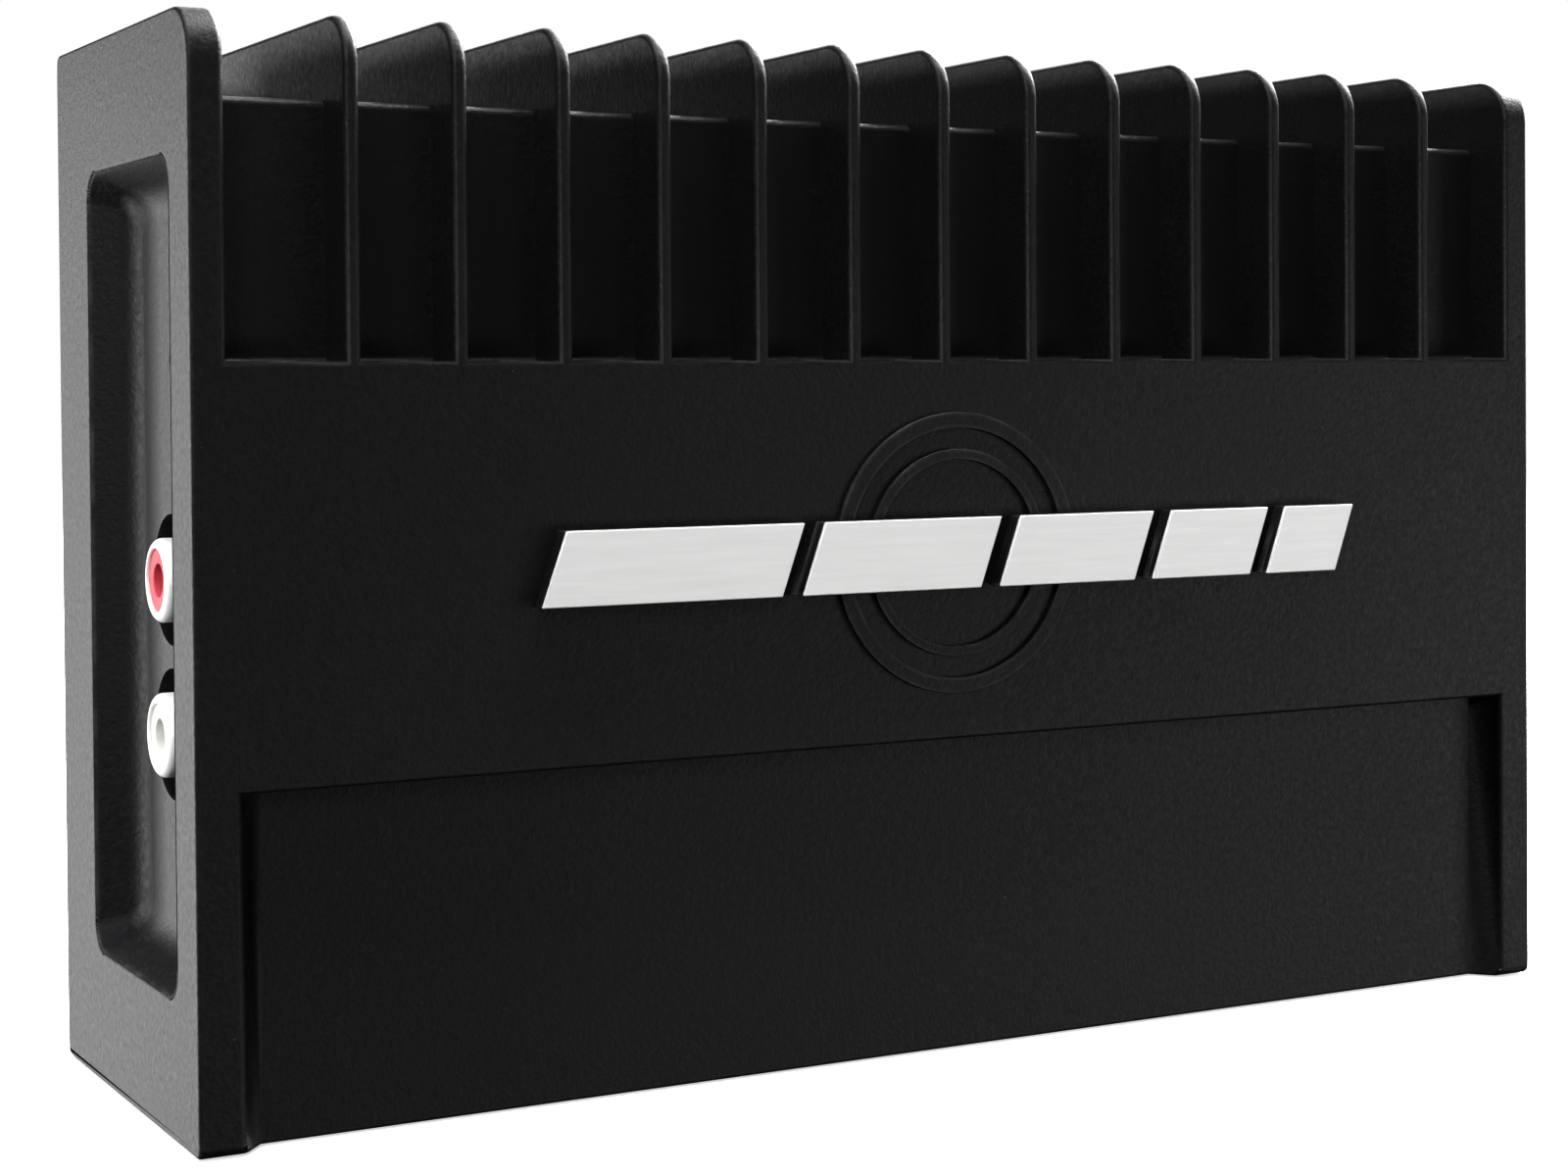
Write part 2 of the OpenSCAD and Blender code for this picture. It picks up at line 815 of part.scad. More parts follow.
// Square metal cage: the wire lies in it below the current bar
module clamp_cage(base_z, i) {
    z = pole_z(base_z, i);
    difference() {
        block(
            [clamp_x - cage_len / 2, cage_y0, z - cage_half_z],
            [clamp_x + cage_len / 2, cage_y1, z + cage_half_z]
        );
        block(
            [clamp_x - cage_len, cage_y0 + cage_top, z - cage_half_z + cage_wall],
            [clamp_x + cage_len, cage_y1 - cage_wall, z + cage_half_z - cage_wall]
        );
        rod_y(clamp_x, cage_y0 - over, z, cage_top + 2 * over, m3_r + thread_gap);
    }
}

module power_header() {
    place() color("#2b6b3a") header(power_z, power_poles);
}

module power_header_pins() {
    place() color("#c3c5c8") header_pins(power_z, power_poles);
}

module power_plug() {
    place() color("#24272a") plug(power_z, power_poles);
}

module power_plug_contacts() {
    place() color("#c3c5c8") plug_contacts(power_z, power_poles);
}

module power_screw_plus() {
    place() color("#c9b26a") clamp_screw(power_z, 2);
}

module power_screw_remote() {
    place() color("#b9bbbe") clamp_screw(power_z, 1);
}

module power_screw_ground() {
    place() color("#b9bbbe") clamp_screw(power_z, 0);
}

module power_cage_plus() {
    place() color("#cfd1d4") clamp_cage(power_z, 2);
}

module power_cage_remote() {
    place() color("#cfd1d4") clamp_cage(power_z, 1);
}

module power_cage_ground() {
    place() color("#cfd1d4") clamp_cage(power_z, 0);
}

module speaker_header() {
    place() color("#2b6b3a") header(speaker_z, speaker_poles);
}

module speaker_header_pins() {
    place() color("#c3c5c8") header_pins(speaker_z, speaker_poles);
}

module speaker_plug() {
    place() color("#24272a") plug(speaker_z, speaker_poles);
}

module speaker_plug_contacts() {
    place() color("#c3c5c8") plug_contacts(speaker_z, speaker_poles);
}

module speaker_screw_1() {
    place() color("#b9bbbe") clamp_screw(speaker_z, 0);
}

module speaker_screw_2() {
    place() color("#b9bbbe") clamp_screw(speaker_z, 1);
}

module speaker_screw_3() {
    place() color("#b9bbbe") clamp_screw(speaker_z, 2);
}

module speaker_screw_4() {
    place() color("#b9bbbe") clamp_screw(speaker_z, 3);
}

module speaker_cage_1() {
    place() color("#cfd1d4") clamp_cage(speaker_z, 0);
}

module speaker_cage_2() {
    place() color("#cfd1d4") clamp_cage(speaker_z, 1);
}

module speaker_cage_3() {
    place() color("#cfd1d4") clamp_cage(speaker_z, 2);
}

module speaker_cage_4() {
    place() color("#cfd1d4") clamp_cage(speaker_z, 3);
}

// ---- Fuse ----

module fuse_holder() {
    place() color("#18191a") difference() {
        block(
            [holder_x0, board_y, fuse_z - holder_half_z],
            [holder_x1, jack_y + fuse_w / 2 + 1.9, fuse_z + holder_half_z]
        );
        block(
            [fuse_x0 - 0.4, jack_y - fuse_w / 2 - slack, fuse_z - fuse_t / 2 - slack],
            [holder_x1 + over, jack_y + fuse_w / 2 + slack, fuse_z + fuse_t / 2 + slack]
        );
        for (side = [-1, 1]) {
            translate([fuse_x0 - blade_len / 2, jack_y + side * blade_off, fuse_z])
                cube([blade_len + 1.6, blade_w + 0.8, blade_t + 2.2], center = true);
        }
    }
}

// Pairs of spring leaves beside each blade
module fuse_clips() {
    place() color("#c3c5c8") for (side = [-1, 1]) {
        for (face = [-1, 1]) {
            translate([fuse_x0 - blade_len / 2 - 0.3, jack_y + side * blade_off, fuse_z + face * 1])
                cube([blade_len - 0.6, blade_w, 0.5], center = true);
        }
    }
}

module fuse_body() {
    place() color("#2f73c9", 0.8) difference() {
        block(
            [fuse_x0, jack_y - fuse_w / 2, fuse_z - fuse_t / 2],
            [fuse_x1, jack_y + fuse_w / 2, fuse_z + fuse_t / 2]
        );
        // finger steps below the grip, and the test points in the top
        for (face = [-1, 1]) {
            translate([fuse_x0 + 4.2, jack_y, fuse_z + face * fuse_t / 2])
                cube([3.2, fuse_w + over, 1.4], center = true);
        }
        for (side = [-1, 1]) {
            translate([fuse_x1, jack_y + side * 3.4, fuse_z]) cube([1, 1.8, 1.4], center = true);
        }
        for (side = [-1, 1]) {
            translate([fuse_x0 + 0.6, jack_y + side * blade_off, fuse_z])
                cube([2 * 0.8, blade_w + 0.04, blade_t + 0.04], center = true);
        }
    }
}

module fuse_blades() {
    place() color("#c3c5c8") for (side = [-1, 1]) {
        translate([fuse_x0 + 1.3 - (blade_len + 1.3) / 2, jack_y + side * blade_off, fuse_z])
            cube([blade_len + 1.3, blade_w, blade_t], center = true);
    }
}

// ---- Power supply and output stage ----

module ring_core(x, z, y0, r_out, r_in, h) {
    difference() {
        rod_y(x, y0, z, h, r_out);
        rod_y(x, y0 - over, z, h + 2 * over, r_in);
    }
}

// Turns of flat wire around a ring core
module ring_winding(x, z, y0, r_out, r_in, h, turns, wire) {
    for (i = [0 : turns - 1]) {
        translate([x, y0, z]) rotate([0, i * 360 / turns, 0]) difference() {
            block([r_in - wire - 0.1, -wire - 0.1, -wire / 2], [r_out + wire + 0.1, h + wire + 0.1, wire / 2]);
            block([r_in - 0.1, -0.1, -wire], [r_out + 0.1, h + 0.1, wire]);
        }
    }
}

module transformer_core() {
    place() color("#3c5f52")
        ring_core(transformer_x, transformer_z, transformer_y, transformer_r, transformer_in_r, transformer_h);
}

module transformer_winding() {
    place() color("#b0662d") ring_winding(
        transformer_x, transformer_z, transformer_y, transformer_r, transformer_in_r, transformer_h,
        turns = 20, wire = transformer_wire);
}

module output_choke_cores() {
    place() color("#c9b23a") for (z = choke_z) {
        ring_core(choke_x, z, choke_y, choke_r, choke_in_r, choke_h);
    }
}

module output_choke_windings() {
    place() color("#b0662d") for (z = choke_z) {
        ring_winding(choke_x, z, choke_y, choke_r, choke_in_r, choke_h, turns = 12, wire = choke_wire);
    }
}

// Upright power package: three legs, a body and a metal tab against the top wall
module power_package(x) {
    z1 = tab_z;
    block([x, package_y, z1 - 4.4], [x + package_w, package_y + 9, z1 - tab_t]);
    difference() {
        block([x, package_y, z1 - tab_t], [x + package_w, package_y + 15.4, z1]);
        rod_z(x + package_w / 2, tab_hole_y, z1 - 2, 4, tab_hole_r);
    }
    for (dx = [-2.54, 0, 2.54]) {
        block(
            [x + package_w / 2 + dx - 0.4, board_y, z1 - 3.2],
            [x + package_w / 2 + dx + 0.4, package_y + 0.2, z1 - 2.7]
        );
    }
}

module supply_transistors() {
    place() color("#202123") for (i = [0 : 3]) {
        power_package(transistor_x(supply_x, i));
    }
}

module output_transistors() {
    place() color("#202123") for (i = [0 : 3]) {
        power_package(transistor_x(output_x, i));
    }
}

// Thin insulating pads between the tabs and the casting
module transistor_pads() {
    place() color("#9a8f84") for (x0 = [supply_x, output_x]) {
        for (i = [0 : 3]) {
            x = transistor_x(x0, i);
            difference() {
                block([x - 0.4, package_y - 0.6, tab_z], [x + package_w + 0.4, package_y + 16.4, cavity_z1]);
                rod_z(x + package_w / 2, tab_hole_y, tab_z - over, 3, tab_hole_r);
            }
        }
    }
}

module clamp_bars() {
    place() color("#a9abae") for (x = clamp_places()) {
        difference() {
            block([x - bar_half, clamp_y - 2.5, tab_z - 6.4], [x + bar_half, clamp_y + 2.5, tab_z - 4.4]);
            rod_z(x, clamp_y, tab_z - 8, 6, m3_r + 0.15);
        }
    }
}

module clamp_screws() {
    place() color("#6f7174") for (x = clamp_places()) {
        difference() {
            union() {
                rod_z(x, clamp_y, tab_z - 6.5, cavity_z1 - tab_z + 9.5, m3_r);
                rod_z(x, clamp_y, tab_z - 8.4, 2, pan_head_r);
            }
            translate([x, clamp_y, tab_z - 8.4]) cylinder(h = 2.4, r = 1.25, center = true, $fn = 6);
        }
    }
}

// Reservoir capacitors with a groove below the lip and a scored vent
module can_capacitor(x, z, r, h) {
    difference() {
        rod_y(x, board_y, z, h, r);
        difference() {
            rod_y(x, board_y + 2, z, 1, r + over);
            rod_y(x, board_y + 1, z, 3, r - 0.5);
        }
        for (turn = [0, 90]) {
            translate([x, board_y + h, z]) rotate([0, turn, 0])
                cube([1.4 * r, 0.4, 0.5], center = true);
        }
    }
}

module supply_capacitors() {
    place() color("#23262c") for (c = supply_cans) {
        can_capacitor(c[0], c[1], c[2], c[3]);
    }
}

module film_capacitors() {
    place() color("#b8472f") for (x = [37, 45]) {
        for (z = [30, 48]) {
            block([x, board_y, z], [x + 5, board_y + 11, z + 13]);
        }
    }
}

module signal_capacitors() {
    place() color("#2c2f36") for (i = [0 : 3]) {
        can_capacitor(27.5, 26 + 8 * i, 2.5, 11);
    }
}

// Flat package with gull-wing legs on its two long sides
module flat_chip(x, z, w, h, t, legs) {
    block([x, board_y + 0.15, z], [x + w, board_y + t, z + h]);
    for (i = [0 : legs - 1]) {
        lz = z + (i + 0.5) * h / legs - 0.2;
        block([x - 0.9, board_y, lz], [x + w + 0.9, board_y + 0.5, lz + 0.4]);
    }
}

module opamp_chips() {
    place() color("#1b1c1e") for (z = [58, 65, 72]) {
        flat_chip(31, z, 4, 5, 1.6, 4);
    }
}

module controller_chip() {
    place() color("#1b1c1e") flat_chip(66, 18.5, 8, 12, 2.2, 10);
}

housing();
badge_plates();
base_plate();
base_plate_screws();
main_board();
board_screws();
rca_body();
rca_barrels();
rca_insulator_red();
rca_insulator_white();
rca_contacts();
gain_pot_body();
gain_knob();
crossover_pot_body();
crossover_knob();
filter_switch_body();
filter_switch_slider();
power_led();
protect_led();
led_leads();
power_header();
power_header_pins();
power_plug();
power_plug_contacts();
power_screw_plus();
power_screw_remote();
power_screw_ground();
power_cage_plus();
power_cage_remote();
power_cage_ground();
speaker_header();
speaker_header_pins();
speaker_plug();
speaker_plug_contacts();
speaker_screw_1();
speaker_screw_2();
speaker_screw_3();
speaker_screw_4();
speaker_cage_1();
speaker_cage_2();
speaker_cage_3();
speaker_cage_4();
fuse_holder();
fuse_clips();
fuse_body();
fuse_blades();
transformer_core();
transformer_winding();
supply_transistors();
output_transistors();
transistor_pads();
clamp_bars();
clamp_screws();
supply_capacitors();
output_choke_cores();
output_choke_windings();
opamp_chips();
controller_chip();
film_capacitors();
signal_capacitors();
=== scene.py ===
"""Looks of the compact car amplifier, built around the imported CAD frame."""

import json
import math

import bmesh
import bpy
from mathutils import Matrix, Vector


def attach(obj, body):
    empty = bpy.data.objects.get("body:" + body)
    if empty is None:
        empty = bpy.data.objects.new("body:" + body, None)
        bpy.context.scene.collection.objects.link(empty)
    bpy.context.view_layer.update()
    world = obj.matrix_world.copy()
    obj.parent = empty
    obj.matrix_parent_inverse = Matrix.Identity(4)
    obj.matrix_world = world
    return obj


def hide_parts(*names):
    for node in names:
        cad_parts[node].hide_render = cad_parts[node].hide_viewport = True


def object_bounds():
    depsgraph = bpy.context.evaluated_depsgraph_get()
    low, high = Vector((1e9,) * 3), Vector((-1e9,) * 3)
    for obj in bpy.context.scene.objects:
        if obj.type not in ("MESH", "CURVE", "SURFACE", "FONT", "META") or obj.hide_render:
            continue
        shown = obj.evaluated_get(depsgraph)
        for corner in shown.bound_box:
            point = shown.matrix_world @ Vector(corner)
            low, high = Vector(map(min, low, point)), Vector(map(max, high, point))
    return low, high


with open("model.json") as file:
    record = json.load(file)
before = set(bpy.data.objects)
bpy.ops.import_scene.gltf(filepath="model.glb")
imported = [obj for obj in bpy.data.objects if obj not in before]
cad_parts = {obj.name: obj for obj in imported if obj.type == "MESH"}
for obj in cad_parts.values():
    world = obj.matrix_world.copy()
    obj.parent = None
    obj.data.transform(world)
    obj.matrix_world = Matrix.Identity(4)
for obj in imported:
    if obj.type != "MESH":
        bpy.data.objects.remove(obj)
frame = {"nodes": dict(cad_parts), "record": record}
CAD_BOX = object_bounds()
NODES = frame["nodes"]
SLOT_OF = {s["node"]: s["material_slot"] for s in frame["record"]["subparts"]}
BODY_OF = {n: body for body, nodes in frame["record"]["behaviour"]["bodies"].items() for n in nodes}
MM = 0.001

# The camera, in metres and degrees; its lens in mm, its shift as a share of the frame's width
CAMERA_PLACE = (-0.15224, -0.26876, 0.06994)
CAMERA_YAW = 28.391
CAMERA_PITCH = -0.997
CAMERA_ROLL = -0.453
CAMERA_LENS = 63.92
CAMERA_SHIFT = -0.0985

# The casting, in millimetres: its end faces, its front face under the badge plates, its bay floors,
# the depth of the front wall's own edges and the start of the back's
BADGE_PROUD = 2
HALF_LENGTH = CAD_BOX[1][0] / MM
FRONT_Y = CAD_BOX[0][1] / MM + BADGE_PROUD
BAY_Z = 72.5
FRONT_SKIN = 3.2
BACK_RIM_Y = 22.65

# How far the casting's outer edges are rounded, in millimetres
MARK_EASE = 0.08
FIN_EASE = 0.55
BACK_EASE = 0.12
BODY_EASE = 0.4

# How far the outer edges of the smaller parts are rounded, in millimetres
EASED = {
    "badge_plates": 0.12, "base_plate": 0.2, "base_plate_screws": 0.08, "rca_body": 0.2,
    "rca_insulator_red": 0.12, "rca_insulator_white": 0.12, "gain_knob": 0.12, "crossover_knob": 0.12,
    "filter_switch_slider": 0.08, "power_plug": 0.2, "speaker_plug": 0.2, "power_header": 0.2,
    "speaker_header": 0.2, "fuse_body": 0.2, "fuse_holder": 0.2,
    **{n: 0.1 for n in NODES if "_screw_" in n or "_cage_" in n},
}

# An edge is rounded, or kept crisp in a corner, where the surface turns by more than this, in degrees
SHARP_TURN = 28
EASE_SEGMENTS = 3

# The colour sockets of a Mix node, which share their names with its number sockets
MIX_A, MIX_B, MIX_RESULT = 6, 7, 2


# ---- Camera, lights, world and floor ----

def make_camera():
    data = bpy.data.cameras.new("camera")
    data.sensor_width = 36
    data.lens = CAMERA_LENS
    data.shift_y = CAMERA_SHIFT
    data.clip_start = 0.01
    data.clip_end = 20
    camera = bpy.data.objects.new("camera", data)
    bpy.context.scene.collection.objects.link(camera)
    yaw, pitch, roll = (math.radians(a) for a in (CAMERA_YAW, CAMERA_PITCH, CAMERA_ROLL))
    level = math.cos(pitch)
    ahead = Vector((math.sin(yaw) * level, math.cos(yaw) * level, math.sin(pitch)))
    side = Vector((math.cos(yaw), -math.sin(yaw), 0))
    up = side.cross(ahead)
    side, up = (
        side * math.cos(roll) + up * math.sin(roll),
        up * math.cos(roll) - side * math.sin(roll),
    )
    turn = Matrix((side, up, -ahead)).transposed().to_4x4()
    camera.matrix_world = Matrix.Translation(CAMERA_PLACE) @ turn
    bpy.context.scene.camera = camera


def area_light(name, place, aim, size, watts):
    """A soft white rectangle at a place, turned toward another, in metres."""
    data = bpy.data.lights.new(name, "AREA")
    data.shape = "RECTANGLE"
    data.size, data.size_y = size
    data.energy = watts
    light = bpy.data.objects.new(name, data)
    light.location = place
    light.rotation_euler = (Vector(aim) - Vector(place)).to_track_quat("-Z", "Y").to_euler()
    bpy.context.scene.collection.objects.link(light)


def make_lights():
    """The windows grazing the left end, the glints over the fins, and the low fill on the front."""
    middle = (0, 0, 0.055)
    left_end = (-0.08, 0, 0.03)
    near_left_end = (-0.06, 0, 0.05)
    fins = (0, 0, 0.08)
    area_light("left_window", (-0.95, 0.66, -0.05), left_end, (1.2, 0.75), 29)
    area_light("behind_left", (-0.25, 1.1, -0.14), near_left_end, (0.7, 0.8), 2)
    area_light("behind_high", (0.42, 1.0, 0.5), fins, (0.7, 0.5), 6)
    area_light("front_left", (-0.62, -0.70, 0.50), middle, (0.4, 0.4), 7.5)
    area_light("overhead", (0.80, 0.34, 0.80), middle, (0.8, 0.5), 130)
    area_light("overhead_front", (0.0, -0.12, 0.95), middle, (0.9, 0.15), 22)
    area_light("right_front", (0.95, -0.75, -0.05), middle, (0.5, 0.5), 4)
    area_light("low_front", (0.55, -1.0, -0.35), middle, (0.7, 0.3), 2)
    area_light("right_side", (1.2, 0.35, 0.1), middle, (0.5, 0.8), 20)


def make_world():
    """White behind the object, and nearly dark for everything that lights it, so the lights shape it."""
    world = bpy.data.worlds.new("studio")
    world.use_nodes = True
    nodes, links = world.node_tree.nodes, world.node_tree.links
    nodes.clear()
    out = nodes.new("ShaderNodeOutputWorld")
    mix = nodes.new("ShaderNodeMixShader")
    path = nodes.new("ShaderNodeLightPath")
    dim = nodes.new("ShaderNodeBackground")
    dim.inputs["Color"].default_value = (0.9, 0.95, 1, 1)
    dim.inputs["Strength"].default_value = 0.015
    pale = nodes.new("ShaderNodeBackground")
    pale.inputs["Color"].default_value = (1, 1, 1, 1)
    pale.inputs["Strength"].default_value = 1.0
    links.new(path.outputs["Is Camera Ray"], mix.inputs[0])
    links.new(dim.outputs[0], mix.inputs[1])
    links.new(pale.outputs[0], mix.inputs[2])
    links.new(mix.outputs[0], out.inputs["Surface"])
    bpy.context.scene.world = world


def set_range(node, low, high, out_low, out_high):
    """Makes a Map Range node take low to out_low and high to out_high."""
    sockets = ("From Min", "From Max", "To Min", "To Max")
    for socket, value in zip(sockets, (low, high, out_low, out_high)):
        node.inputs[socket].default_value = value


def make_floor():
    """A plain pale floor a hair below the object, fading to white away from it."""
    half = 6.0
    drop = 0.2 * MM
    corners = [(-half, -half, 0), (half, -half, 0), (half, half, 0), (-half, half, 0)]
    mesh = bpy.data.meshes.new("floor")
    mesh.from_pydata(corners, [], [(0, 1, 2, 3)])
    floor = bpy.data.objects.new("floor", mesh)
    floor.location.z = -drop
    bpy.context.scene.collection.objects.link(floor)
    mat = bpy.data.materials.new("floor")
    mat.use_nodes = True
    shader = mat.node_tree.nodes["Principled BSDF"]
    shader.inputs["Base Color"].default_value = (0.9, 0.9, 0.9, 1)
    shader.inputs["Roughness"].default_value = 0.8
    tree = mat.node_tree
    place = tree.nodes.new("ShaderNodeTexCoord")
    far = tree.nodes.new("ShaderNodeVectorMath")
    far.operation = "LENGTH"
    fade = tree.nodes.new("ShaderNodeMapRange")
    set_range(fade, 0.25, 1.2, 0.6, 1.0)
    tree.links.new(place.outputs["Object"], far.inputs[0])
    tree.links.new(far.outputs["Value"], fade.inputs[0])
    tree.links.new(fade.outputs[0], shader.inputs["Emission Color"])
    shader.inputs["Emission Strength"].default_value = 1.0
    floor.data.materials.append(mat)
    floor.visible_diffuse = False
    floor.visible_glossy = False
    floor.visible_shadow = False


# ---- Materials ----

class Shade:
    """A Principled material with the few procedural tools that the finishes below share."""

    def __init__(self, name):
        self.mat = bpy.data.materials.new(name)
        self.mat.use_nodes = True
        self.tree = self.mat.node_tree
        self.shader = self.tree.nodes["Principled BSDF"]
        self.place = self.tree.nodes.new("ShaderNodeTexCoord").outputs["Object"]
        self.height = None

    def set(self, **values):
        for key, value in values.items():
            self.shader.inputs[key.replace("_", " ")].default_value = value

    def link(self, a, b):
        self.tree.links.new(a, b)

    def stretched(self, scale):
        node = self.tree.nodes.new("ShaderNodeMapping")
        node.inputs["Scale"].default_value = scale
        self.link(self.place, node.inputs["Vector"])
        return node.outputs[0]

    def noise(self, per_metre, detail=3, rough=0.55, stretch=None):
        node = self.tree.nodes.new("ShaderNodeTexNoise")
        node.inputs["Scale"].default_value = per_metre
        node.inputs["Detail"].default_value = detail
        node.inputs["Roughness"].default_value = rough
        self.link(self.stretched(stretch) if stretch else self.place, node.inputs["Vector"])
        return node.outputs["Fac"]

    def cells(self, per_metre):
        node = self.tree.nodes.new("ShaderNodeTexVoronoi")
        node.inputs["Scale"].default_value = per_metre
        self.link(self.place, node.inputs["Vector"])
        return node.outputs["Distance"]

    def between(self, fac, low, high, out_low=0.0, out_high=1.0):
        node = self.tree.nodes.new("ShaderNodeMapRange")
        set_range(node, low, high, out_low, out_high)
        self.link(fac, node.inputs["Value"])
        return node.outputs[0]

    def part(self, fac, most):
        """The factor, brought down so that it reaches no more than most."""
        return self.between(fac, 0, 1, 0, most)

    def mix(self, fac, a, b):
        node = self.tree.nodes.new("ShaderNodeMix")
        node.data_type = "RGBA"
        for socket, value in ((node.inputs[MIX_A], a), (node.inputs[MIX_B], b)):
            if isinstance(value, bpy.types.NodeSocket):
                self.link(value, socket)
            else:
                socket.default_value = (*value, 1)
        self.link(fac, node.inputs["Factor"])
        return node.outputs[MIX_RESULT]

    def product(self, a, b):
        node = self.tree.nodes.new("ShaderNodeMath")
        node.operation = "MULTIPLY"
        self.link(a, node.inputs[0])
        self.link(b, node.inputs[1])
        return node.outputs[0]

    def edges(self, reach):
        """1 along outer edges, 0 on open faces and in corners, within a reach in metres."""
        node = self.tree.nodes.new("ShaderNodeAmbientOcclusion")
        node.inside = True
        node.only_local = True
        node.samples = 4
        node.inputs["Distance"].default_value = reach
        return self.between(node.outputs["AO"], 0.9, 0.5)

    def colour(self, socket):
        self.link(socket, self.shader.inputs["Base Color"])

    def rough(self, fac, low, high):
        self.link(self.between(fac, 0.3, 0.7, low, high), self.shader.inputs["Roughness"])

    def bump(self, fac, distance, strength=1.0):
        node = self.tree.nodes.new("ShaderNodeBump")
        node.inputs["Distance"].default_value = distance
        node.inputs["Strength"].default_value = strength
        self.link(fac, node.inputs["Height"])
        if self.height:
            self.link(self.height, node.inputs["Normal"])
        self.height = node.outputs[0]
        self.link(self.height, self.shader.inputs["Normal"])


def toned(colour, factor):
    """The colour, made darker or lighter."""
    return tuple(min(1, c * factor) for c in colour)


def mixed(a, b, t):
    """The colour a share t of the way from a to b."""
    return tuple(x + (y - x) * t for x, y in zip(a, b))


def powder_coat(name, base, specular=0.12):
    """Textured coat: a fine pebbled skin, a little dust, and paint rubbed thin along the edges."""
    s = Shade(name)
    pebble = s.noise(2300, 2, 0.5)
    peel = s.noise(1100, 3, 0.6)
    cloud = s.between(s.noise(28, 4), 0.3, 0.7)
    coat = s.mix(cloud, toned(base, 0.75), toned(base, 1.3))
    coat = s.mix(s.between(pebble, 0.35, 0.68), toned(base, 0.5), coat)
    dust = s.product(s.between(s.cells(420), 0.045, 0.02), s.between(s.noise(60), 0.55, 0.68))
    coat = s.mix(s.part(dust, 0.4), coat, (0.16, 0.16, 0.16))
    patchy = s.between(s.noise(240, 4), 0.42, 0.66, 0.15, 1.0)
    worn = s.product(s.edges(0.45 * MM), patchy)
    coat = s.mix(s.part(worn, 0.45), coat, (0.06, 0.06, 0.065))
    s.colour(coat)
    s.rough(s.noise(1500, 2), 0.42, 0.56)
    s.set(Specular_IOR_Level=specular)
    s.bump(peel, 0.08 * MM, 0.55)
    s.bump(pebble, 0.06 * MM, 0.8)
    return s.mat


def brushed(name, base, rough):
    """Bare or plated metal with fine lines along X and duller patches."""
    s = Shade(name)
    lines = s.noise(900, 4, 0.6, (1, 30, 30))
    patches = s.between(s.noise(90, 4), 0.45, 0.75, 0, 0.6)
    tone = s.mix(s.between(lines, 0.3, 0.7), toned(base, 0.9), toned(base, 1.06))
    s.colour(s.mix(patches, tone, toned(base, 0.86)))
    s.rough(lines, rough * 0.85, rough * 1.2)
    s.set(Metallic=1.0)
    s.bump(lines, 0.012 * MM, 0.6)
    return s.mat


def satin_metal(name, base):
    """Linished and blasted aluminium: bright from every side, with faint lines and small dark specks."""
    s = Shade(name)
    lines = s.noise(1500, 4, 0.65, (0.06, 1, 1))
    tone = s.mix(s.between(lines, 0.3, 0.7), toned(base, 0.9), base)
    specks = s.product(s.between(s.cells(600), 0.12, 0.05), s.between(s.noise(200), 0.5, 0.6))
    s.colour(s.mix(s.part(specks, 0.35), tone, toned(base, 0.6)))
    s.rough(lines, 0.42, 0.56)
    s.set(Metallic=0.1)
    s.bump(lines, 0.01 * MM, 0.6)
    return s.mat


def plated(name, base):
    """Bright satin plating with faint ripples and handling marks."""
    s = Shade(name)
    wave = s.noise(700, 3)
    marks = s.between(s.noise(260, 4), 0.4, 0.75)
    s.colour(s.mix(marks, base, toned(base, 0.82)))
    s.rough(s.noise(420, 4), 0.272, 0.425)
    s.set(Metallic=0.15)
    s.bump(wave, 0.01 * MM, 0.5)
    return s.mat


def moulded(name, base, rough, specular=0.5):
    """Moulded plastic: fine spark-eroded grain, faint flow marks and paler edges."""
    s = Shade(name)
    flow = s.between(s.noise(110, 3), 0.3, 0.7)
    tone = s.mix(flow, toned(base, 0.85), toned(base, 1.12))
    worn = s.product(s.edges(0.2 * MM), s.between(s.noise(500, 3), 0.4, 0.65))
    s.colour(s.mix(s.part(worn, 0.35), tone, mixed(base, (0.7, 0.7, 0.7), 0.25)))
    s.rough(s.noise(300, 3), rough * 0.85, rough * 1.15)
    s.set(Specular_IOR_Level=specular)
    s.bump(s.noise(1800, 2), 0.02 * MM, 0.6)
    return s.mat


def clear_tinted(name, base):
    """Tinted clear plastic."""
    s = Shade(name)
    tint = s.between(s.noise(300, 3), 0.3, 0.7)
    s.colour(s.mix(tint, toned(base, 0.85), toned(base, 1.1)))
    s.rough(s.noise(500, 3), 0.096, 0.156)
    s.set(Transmission_Weight=0.55, IOR=1.49)
    s.bump(s.noise(1200, 2), 0.008 * MM, 0.4)
    return s.mat


def circuit_board(name, base):
    """Solder mask with lighter copper runs showing through it in patches."""
    s = Shade(name)
    brick = s.tree.nodes.new("ShaderNodeTexBrick")
    runs = {"Scale": 130, "Mortar Size": 0.035, "Row Height": 0.22, "Brick Width": 1.3}
    for key, value in runs.items():
        brick.inputs[key].default_value = value
    turn = s.tree.nodes.new("ShaderNodeMapping")
    turn.inputs["Rotation"].default_value = (math.radians(90), 0, 0)
    s.link(s.place, turn.inputs["Vector"])
    s.link(turn.outputs[0], brick.inputs["Vector"])
    tracks = s.product(brick.outputs["Fac"], s.between(s.noise(60, 2), 0.42, 0.5))
    s.colour(s.mix(tracks, base, tuple(min(1, c * 1.9 + 0.02) for c in base)))
    s.rough(s.noise(200, 3), 0.25, 0.4)
    s.bump(tracks, 0.02 * MM, 0.5)
    return s.mat


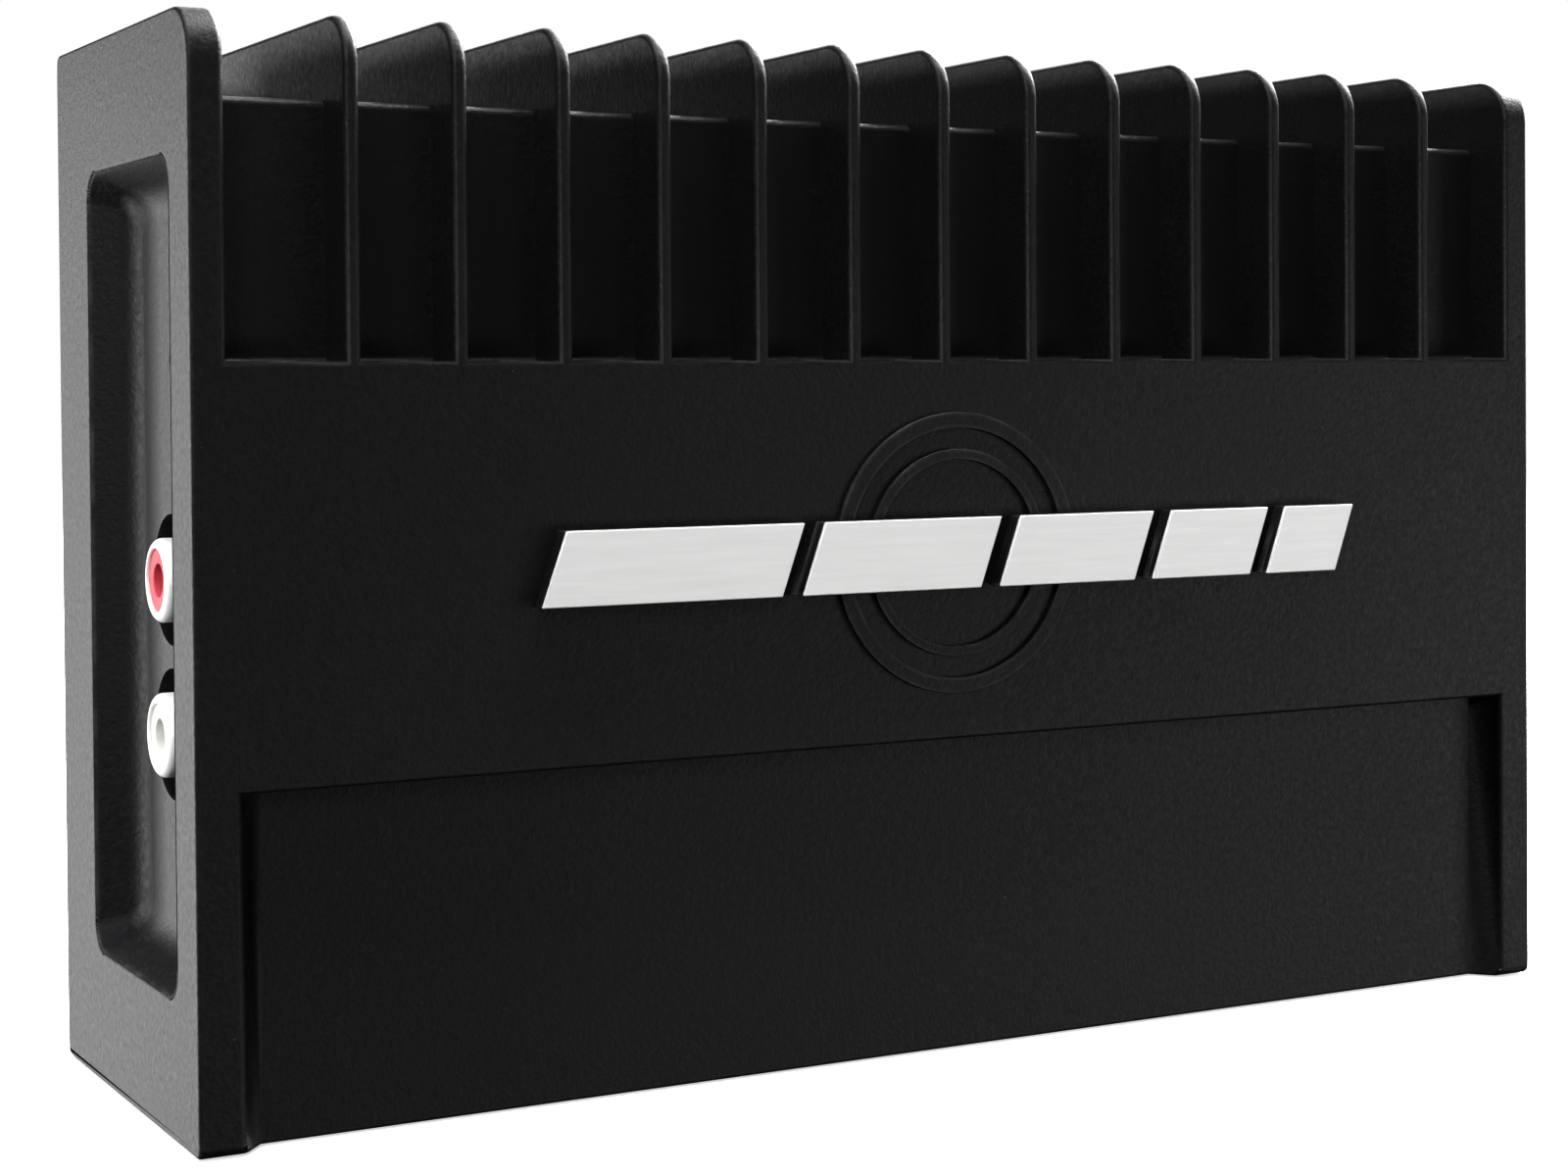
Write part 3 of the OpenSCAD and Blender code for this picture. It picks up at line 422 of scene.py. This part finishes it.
def enamelled(name, base):
    """Varnished copper wire or epoxy-coated core: glossy skin with a soft ripple."""
    s = Shade(name)
    s.colour(s.mix(s.between(s.noise(400, 4), 0.35, 0.7), base, toned(base, 0.6)))
    s.rough(s.noise(300, 3), 0.22, 0.38)
    s.set(Coat_Weight=0.4)
    s.bump(s.noise(900, 3), 0.03 * MM, 0.5)
    return s.mat


def finishes():
    """Every material slot's finish: its own colour, and its roughness where the finish takes one."""
    return {
        "casting_black": powder_coat("casting_black", (0.0040, 0.0040, 0.0048)),
        "plate_black": powder_coat("plate_black", (0.012, 0.012, 0.013), 0.4),
        "badge_silver": satin_metal("badge_silver", (0.72, 0.72, 0.715)),
        "screw_zinc": brushed("screw_zinc", (0.55, 0.55, 0.57), 0.3),
        "screw_yellow": brushed("screw_yellow", (0.62, 0.50, 0.22), 0.3),
        "cage_steel": brushed("cage_steel", (0.68, 0.68, 0.70), 0.25),
        "contact_tin": brushed("contact_tin", (0.62, 0.62, 0.64), 0.35),
        "switch_steel": brushed("switch_steel", (0.50, 0.50, 0.52), 0.35),
        "bar_steel": brushed("bar_steel", (0.50, 0.50, 0.52), 0.3),
        "nickel": plated("nickel", (0.95, 0.95, 0.94)),
        "insulator_red": moulded("insulator_red", (0.50, 0.05, 0.07), 0.55, 0.12),
        "insulator_white": moulded("insulator_white", (0.72, 0.71, 0.68), 0.55, 0.12),
        "jack_black": moulded("jack_black", (0.012, 0.012, 0.012), 0.5),
        "pot_blue": moulded("pot_blue", (0.03, 0.06, 0.17), 0.4),
        "knob_white": moulded("knob_white", (0.62, 0.62, 0.58), 0.42),
        "slider_black": moulded("slider_black", (0.02, 0.02, 0.02), 0.45),
        "led_blue": clear_tinted("led_blue", (0.05, 0.25, 0.85)),
        "led_red": clear_tinted("led_red", (0.65, 0.03, 0.02)),
        "header_green": moulded("header_green", (0.02, 0.15, 0.05), 0.42),
        "plug_black": moulded("plug_black", (0.016, 0.017, 0.019), 0.42),
        "holder_black": moulded("holder_black", (0.012, 0.012, 0.013), 0.5),
        "fuse_blue": clear_tinted("fuse_blue", (0.03, 0.14, 0.70)),
        "core_green": enamelled("core_green", (0.04, 0.12, 0.08)),
        "core_yellow": enamelled("core_yellow", (0.55, 0.38, 0.04)),
        "copper": enamelled("copper", (0.50, 0.17, 0.05)),
        "package_black": moulded("package_black", (0.015, 0.015, 0.017), 0.5),
        "pad_grey": moulded("pad_grey", (0.30, 0.27, 0.25), 0.8),
        "can_black": moulded("can_black", (0.02, 0.022, 0.03), 0.3),
        "film_red": enamelled("film_red", (0.32, 0.04, 0.015)),
        "board_green": circuit_board("board_green", (0.012, 0.09, 0.03)),
    }


# ---- Pieces ----

def clean_copy(node, name):
    """The node's mesh with shared corners and whole faces, so that its edges can be eased."""
    same_place = 0.002 * MM
    same_face = math.radians(0.6)
    mesh = NODES[node].data.copy()
    bm = bmesh.new()
    bm.from_mesh(mesh)
    bmesh.ops.remove_doubles(bm, verts=bm.verts, dist=same_place)
    bmesh.ops.dissolve_limit(bm, angle_limit=same_face, verts=bm.verts, edges=bm.edges)
    bm.to_mesh(mesh)
    bm.free()
    mesh.name = name
    return bpy.data.objects.new(name, mesh)


def mark_edges(mesh, width, width_at):
    """Weighs the outer edges by how far they are rounded, and keeps the other turns crisp."""
    bm = bmesh.new()
    bm.from_mesh(mesh)
    weight = bm.edges.layers.float.new("bevel_weight_edge")
    for face in bm.faces:
        face.smooth = True
    for edge in bm.edges:
        turn = math.degrees(edge.calc_face_angle_signed(0))
        if turn > SHARP_TURN:
            middle = (edge.verts[0].co + edge.verts[1].co) / 2
            edge[weight] = (width_at(middle) if width_at else width) / width
        if abs(turn) > SHARP_TURN and edge[weight] == 0:
            edge.smooth = False
    bm.to_mesh(mesh)
    bm.free()


def eased_node(node, width, width_at=None):
    """Replaces a node with a copy whose edges are rounded, in metres, all alike or by their place."""
    name = node + "_eased"
    obj = clean_copy(node, name)
    mark_edges(obj.data, width, width_at)
    bevel = obj.modifiers.new("ease", "BEVEL")
    bevel.width = width
    bevel.segments = EASE_SEGMENTS
    bevel.limit_method = "WEIGHT"
    bevel.use_clamp_overlap = False
    bevel.miter_outer = "MITER_ARC"
    level = obj.modifiers.new("shade", "WEIGHTED_NORMAL")
    level.keep_sharp = True
    level.weight = 80
    obj.data.materials.clear()
    obj.data.materials.append(FINISH[SLOT_OF[node]])
    bpy.context.scene.collection.objects.link(obj)
    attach(obj, BODY_OF[node])
    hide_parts(node)


def casting_width(place):
    """How far an edge of the casting is rounded: fins most, raised marks least, holes not at all."""
    slack = 0.2
    x, y, z = (v / MM for v in place)
    between_ends = abs(x) < HALF_LENGTH - slack
    if y < FRONT_Y - slack / 4:
        return MARK_EASE * MM
    if z > BAY_Z - slack and between_ends:
        return FIN_EASE * MM
    if between_ends and y > FRONT_Y + FRONT_SKIN:
        return BACK_EASE * MM if y > BACK_RIM_Y or z < slack / 2 else 0
    return BODY_EASE * MM


make_camera()
make_lights()
make_world()
make_floor()
FINISH = finishes()
bpy.context.scene.view_settings.view_transform = "Standard"

for name, obj in NODES.items():
    obj.data.materials.clear()
    obj.data.materials.append(FINISH[SLOT_OF[name]])

eased_node("housing", FIN_EASE * MM, casting_width)
for node, width in EASED.items():
    eased_node(node, width * MM)
